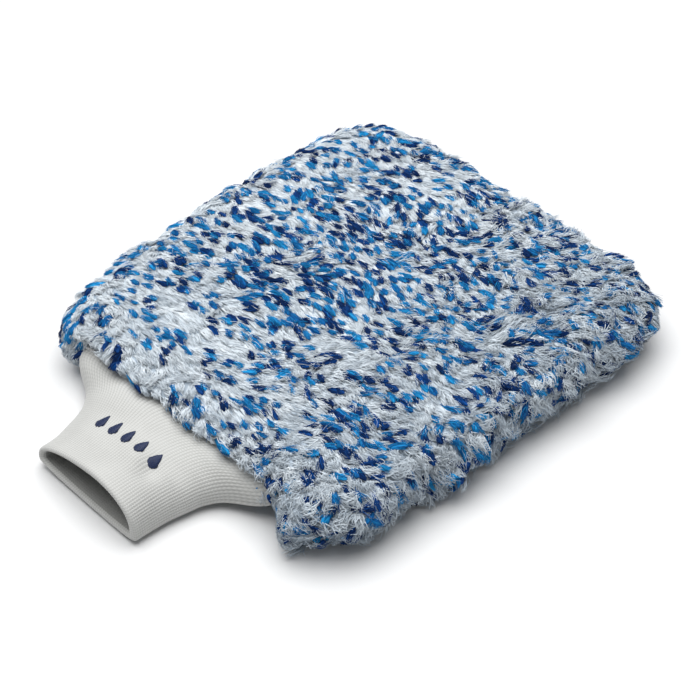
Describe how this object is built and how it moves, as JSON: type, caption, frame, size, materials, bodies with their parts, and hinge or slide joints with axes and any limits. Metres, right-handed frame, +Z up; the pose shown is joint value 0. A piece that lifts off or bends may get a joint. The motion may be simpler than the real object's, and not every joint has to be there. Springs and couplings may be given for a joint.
{
  "type": "wash mitt",
  "caption": "Plush microfibre wash mitt with a rib-knit wrist cuff, a lined hand pocket and a row of embroidered water drops on the cuff.",
  "frame": {"origin": "on the surface that the mitt lies on, under the middle of its outer box", "axes": "+X from the mouth of the cuff to the finger end, +Y across the mitt, +Z up out of the upper pile"},
  "size_m": [0.278, 0.2168, 0.036],
  "materials": {
    "pile_microfibre": "deep cottony microfibre pile, white with mid-blue and navy tufts",
    "ground_cloth": "dense white knit, matte",
    "lining_knit": "thin white tricot, matte",
    "rib_knit": "warm white 1 by 1 rib knit, matte",
    "seam_thread": "white overlock thread",
    "embroidery_thread": "navy satin stitch with a soft sheen"
  },
  "bodies": {
    "pouch": {"top_pile": "pile_microfibre", "bottom_pile": "pile_microfibre", "top_backing": "ground_cloth", "bottom_backing": "ground_cloth", "top_lining": "lining_knit", "bottom_lining": "lining_knit", "edge_seam": "seam_thread", "cuff_join_seam": "seam_thread"},
    "cuff": {"rib_cuff": "rib_knit", "cuff_side_seam": "seam_thread", "embroidered_drop_1": "embroidery_thread", "embroidered_drop_2": "embroidery_thread", "embroidered_drop_3": "embroidery_thread", "embroidered_drop_4": "embroidery_thread", "embroidered_drop_5": "embroidery_thread"}
  },
  "joints": [
    {"name": "cuff_fold", "type": "hinge", "parent": "pouch", "child": "cuff", "pos_m": [-0.0895, 0.013, 0.0272], "axis": [0, 1, 0], "range_deg": [0, 40]}
  ]
}
